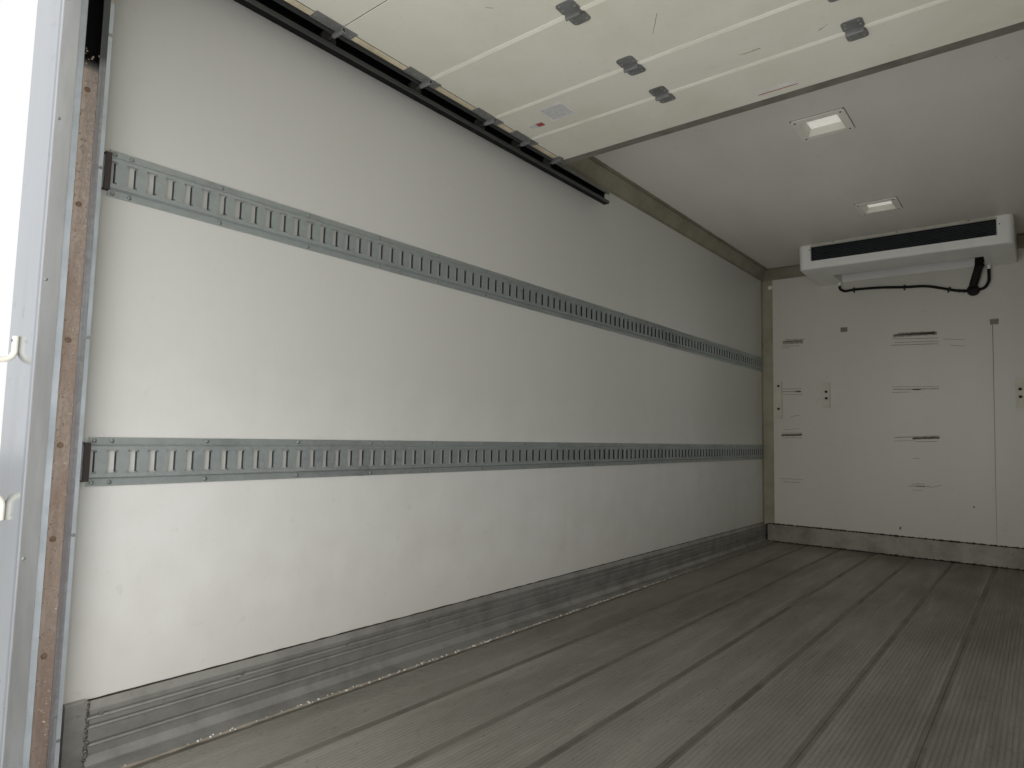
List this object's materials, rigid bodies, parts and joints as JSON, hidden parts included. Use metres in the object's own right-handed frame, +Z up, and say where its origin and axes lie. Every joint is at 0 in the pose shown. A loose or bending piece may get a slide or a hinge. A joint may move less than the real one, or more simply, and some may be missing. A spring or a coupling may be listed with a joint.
{
  "type": "refrigerated truck body",
  "caption": "Insulated refrigerated truck body with an open overhead rear door, slotted cargo rails, aluminium floor, ceiling cooling unit and nose-mounted condensing unit.",
  "frame": {"origin": "bottom centre of the whole body's box, at the underside of the long sills", "axes": "+X forward towards the cab, +Y to the left, +Z up"},
  "size_m": [6.016, 2.466, 2.805],
  "materials": {
    "panel_white": "smooth white glass-fibre lining and skin, slightly soiled inside",
    "lining_trim": "white moulded plastic",
    "floor_metal": "scuffed aluminium planks",
    "core": "insulating foam core and its skin",
    "polished_steel": "mirror-polished stainless steel",
    "galvanised": "galvanised steel, dirty in the tracks",
    "aluminium_trim": "mill-finish aluminium extrusion",
    "door_cream": "cream painted door skin",
    "door_edge": "pale painted edge channel",
    "seal_rubber": "soft grey-brown rubber",
    "black_rubber": "moulded black rubber",
    "hose_rubber": "ribbed black drain hose and foam sleeve",
    "unit_white": "white moulded unit cover",
    "black_plastic": "black moulded plastic",
    "grille_grey": "grey slats",
    "lens_clear": "milky ribbed lens",
    "lens_red": "red lens",
    "lens_amber": "amber lens",
    "under_paint": "dark chassis paint",
    "handle_white": "white coated bar"
  },
  "bodies": {
    "body": {"base_rails": "aluminium_trim", "bulkhead_brackets": "galvanised", "cargo_rails": "galvanised", "ceiling_coves": "lining_trim", "cond_grille": "black_plastic", "cond_housing": "unit_white", "cond_shroud": "black_plastic", "counterbalance": "galvanised", "cross_members": "under_paint", "dock_bumpers": "black_rubber", "door_hinges": "galvanised", "door_rollers": "galvanised", "door_seals": "seal_rubber", "door_sections": "door_cream", "door_stiles": "door_edge", "door_tracks": "galvanised", "drain_hoses": "hose_rubber", "evap_grille": "grille_grey", "evap_housing": "unit_white", "evap_shroud": "black_plastic", "floor_planks": "floor_metal", "floor_slab": "core", "front_corner_posts": "aluminium_trim", "front_kick_plate": "aluminium_trim", "front_wall": "panel_white", "grab_handles": "handle_white", "hose_clips": "black_plastic", "inner_corner_trims": "lining_trim", "jamb_strips": "aluminium_trim", "left_wall": "panel_white", "light_bezels": "lining_trim", "light_lenses": "lens_clear", "long_sills": "under_paint", "pipe_bundle": "hose_rubber", "rear_header": "polished_steel", "rear_lamps": "lens_red", "rear_post_left": "polished_steel", "rear_post_right": "polished_steel", "rear_sill": "polished_steel", "right_wall": "panel_white", "roof": "panel_white", "roof_rails": "aluminium_trim", "side_kick_plates": "aluminium_trim", "side_lamps": "lens_amber", "track_brackets": "galvanised"},
    "evap_fan_right": {"evap_fan_right": "black_plastic"},
    "evap_fan_centre": {"evap_fan_centre": "black_plastic"},
    "evap_fan_left": {"evap_fan_left": "black_plastic"},
    "cond_fan_right": {"cond_fan_right": "black_plastic"},
    "cond_fan_left": {"cond_fan_left": "black_plastic"}
  },
  "joints": [
    {"name": "evap_fan_right_spin", "type": "hinge", "parent": "body", "child": "evap_fan_right", "pos_m": [2.313, -0.32, 2.628], "axis": [0, 0, 1], "continuous": true},
    {"name": "evap_fan_centre_spin", "type": "hinge", "parent": "body", "child": "evap_fan_centre", "pos_m": [2.313, 0, 2.628], "axis": [0, 0, 1], "continuous": true},
    {"name": "evap_fan_left_spin", "type": "hinge", "parent": "body", "child": "evap_fan_left", "pos_m": [2.313, 0.32, 2.628], "axis": [0, 0, 1], "continuous": true},
    {"name": "cond_fan_right_spin", "type": "hinge", "parent": "body", "child": "cond_fan_right", "pos_m": [2.942, -0.4, 2.513], "axis": [1, 0, 0], "continuous": true},
    {"name": "cond_fan_left_spin", "type": "hinge", "parent": "body", "child": "cond_fan_left", "pos_m": [2.942, 0.4, 2.513], "axis": [1, 0, 0], "continuous": true}
  ]
}
